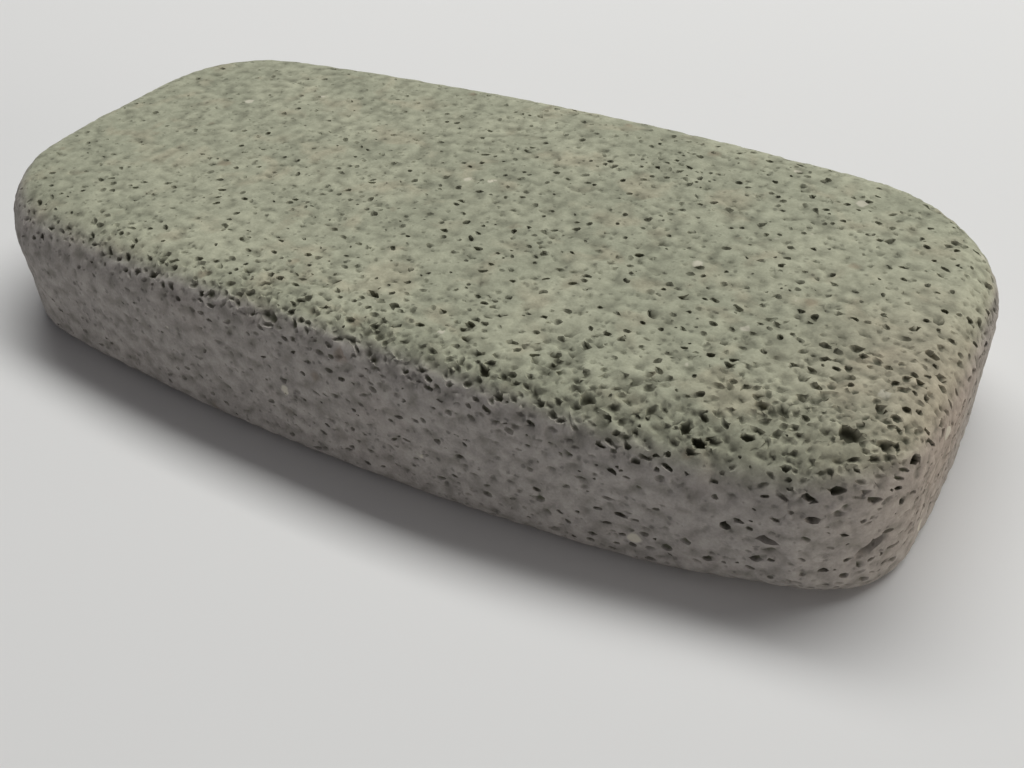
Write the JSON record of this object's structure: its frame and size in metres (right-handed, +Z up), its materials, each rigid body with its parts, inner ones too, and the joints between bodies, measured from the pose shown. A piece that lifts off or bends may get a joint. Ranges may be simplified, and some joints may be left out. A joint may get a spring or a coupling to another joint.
{
  "type": "pumice stone",
  "caption": "Bar of pumice for the feet, with rounded corners, softly bowed sides and worn rims, full of small bubble pits.",
  "frame": {"origin": "middle of the bounding box's lowest face, on the flat underside that the stone rests on", "axes": "+X along the bar towards its squarer end, +Y across it towards the back, +Z up out of its broad upper face"},
  "size_m": [0.1, 0.0508, 0.0145],
  "materials": {
    "pumice": "dry, matt, pitted greenish grey pumice with pale grains"
  },
  "bodies": {
    "root": {"pumice_stone": "pumice"}
  },
  "joints": []
}
